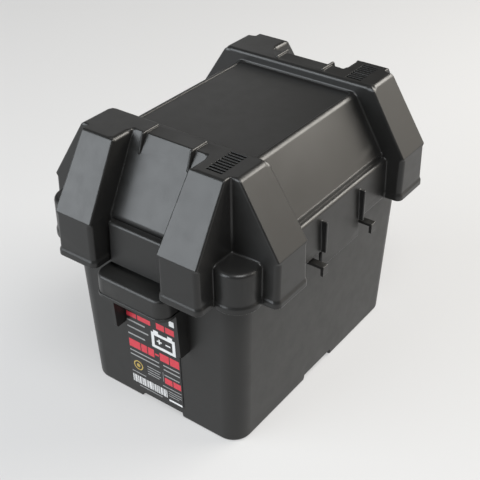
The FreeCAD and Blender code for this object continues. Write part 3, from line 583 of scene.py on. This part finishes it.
B = box_pts
plus = [(236, 294), (249, 294), (249, 281), (259, 281), (259, 294), (272, 294), (272, 304), (259, 304), (259, 317), (249, 317), (249, 304), (236, 304)]
case_out = [(196, 242), (214, 242), (214, 224), (250, 224), (250, 242), (318, 242), (318, 224), (354, 224), (354, 242), (372, 242), (372, 358), (196, 358)]
white = [B(340, 96, 376, 136), case_out, B(217, 263, 351, 337), plus, B(300, 294, 336, 304), B(292, 732, 392, 746)]
c, k = 12, 0
for w in (5, 3, 8, 4, 3, 6, 10, 3, 5, 4, 9, 3, 4, 7, 3, 12, 4, 5, 3, 8, 5, 3, 6, 4, 10, 3, 5, 7, 3, 4):
    if c + w > 280:
        break
    white.append(B(c, 668, c + w, 728))
    c += w + (3, 5, 2, 4, 3, 6)[k % 6]
    k += 1
print_layer("label_print_white", white, ink("ink_white", (0.70, 0.70, 0.70)))
grey_l = [B(12, 232, 150, 243), B(12, 282, 172, 293), B(12, 336, 142, 347), B(12, 467, 236, 476), B(12, 500, 236, 509), B(268, 467, 390, 476), B(268, 500, 390, 509),
          B(138, 545, 240, 551), B(138, 565, 232, 571), B(138, 585, 240, 591), B(138, 603, 226, 609), B(258, 532, 261, 606), B(270, 543, 384, 551),
          B(12, 639, 120, 645), B(250, 639, 392, 645), B(292, 665, 392, 670), B(292, 683, 392, 688), B(292, 701, 370, 706), B(60, 743, 240, 749)]
print_layer("label_print_grey", grey_l, ink("ink_grey", (0.30, 0.30, 0.30)))
red = [B(14, 172, 90, 206), B(98, 172, 196, 206), B(240, 160, 300, 204), B(308, 160, 372, 204), B(12, 384, 98, 444), B(105, 384, 150, 444), B(157, 384, 204, 444),
       B(211, 406, 240, 420), B(247, 384, 316, 444), B(323, 384, 392, 444), B(270, 568, 328, 614), B(335, 568, 392, 614)]
print_layer("label_print_red", red, ink("ink_red", (0.56, 0.035, 0.055)))
print_layer("label_print_gold", [disc_pts(66, 578, 36), disc_pts(66, 578, 28), disc_pts(66, 578, 14)], ink("ink_gold", (0.42, 0.30, 0.07)))

# ------------------------------------------------------------------ camera
cam_data = bpy.data.cameras.new("camera")
cam = link(bpy.data.objects.new("camera", cam_data))
cam_data.sensor_width = 36.0
cam_data.lens = 942.534 / 480 * 36.0
AZ, EL, ROLL, DIST = math.radians(-53.682), math.radians(34.034), math.radians(-0.251), 0.747615
TGT = Vector((0.007148, 0.009881, 0.086736))
back = Vector((math.sin(AZ) * math.cos(EL), -math.cos(AZ) * math.cos(EL), math.sin(EL)))
xr = Vector((0, 0, 1)).cross(back).normalized()
yr = back.cross(xr)
xq = xr * math.cos(ROLL) + yr * math.sin(ROLL)
yq = yr * math.cos(ROLL) - xr * math.sin(ROLL)
m = Matrix((xq, yq, back)).transposed().to_4x4()
m.translation = TGT + back * DIST
cam.matrix_world = m
cam_data.clip_start, cam_data.clip_end = 0.05, 50
scene.camera = cam

# ------------------------------------------------------------------ floor and light
fm, nt, bs = new_mat("floor_pale")
bs.inputs["Base Color"].default_value = (0.25, 0.25, 0.25, 1)
bs.inputs["Roughness"].default_value = 0.9
bs.inputs["Specular IOR Level"].default_value = 0.1
bs.inputs["Emission Color"].default_value = (1, 1, 1, 1)
bs.inputs["Emission Strength"].default_value = 0.42
me = bpy.data.meshes.new("floor")
S = 12.0
me.from_pydata([(-S, -S, -0.0002), (S, -S, -0.0002), (S, S, -0.0002), (-S, S, -0.0002)], [], [(0, 1, 2, 3)])
floor = link(bpy.data.objects.new("floor", me))
me.materials.append(fm)

world = bpy.data.worlds.new("studio")
scene.world = world
world.use_nodes = True
bg = world.node_tree.nodes["Background"]
bg.inputs["Color"].default_value = (1, 1, 1, 1)
bg.inputs["Strength"].default_value = 0.06


def area(name, d, dist, size, power, col, target=(0, 0, 0.11)):
    ld = bpy.data.lights.new(name, "AREA")
    ld.shape = "RECTANGLE"
    ld.size, ld.size_y = size
    ld.energy = power
    ld.color = col
    o = link(bpy.data.objects.new(name, ld))
    d = Vector(d).normalized()
    t = Vector(target)
    o.location = t + d * dist
    o.rotation_mode = "QUATERNION"
    o.rotation_quaternion = (-d).to_track_quat("-Z", "Y")
    return o


area("cool_side", (-0.79, 0.49, 0.40), 1.4, (1.3, 0.9), 24.0, (0.91, 0.96, 1.0))
area("warm_side", (0.67, -0.70, 0.26), 1.4, (1.3, 0.6), 4.4, (1.0, 0.93, 0.82))
area("warm_strip", (0.67, -0.46, 0.60), 1.4, (1.2, 0.46), 24.0, (1.0, 0.96, 0.89))
area("overhead", (-0.30, -0.45, 0.85), 1.5, (0.65, 0.65), 15.0, (1.0, 1.0, 1.0))
area("back", (0.60, 0.66, 0.48), 1.6, (0.85, 0.85), 1.15, (1.0, 1.0, 1.0))

scene.view_settings.view_transform = "Standard"
scene.view_settings.look = "None"
scene.view_settings.exposure = 0.0
scene.view_settings.gamma = 1.0
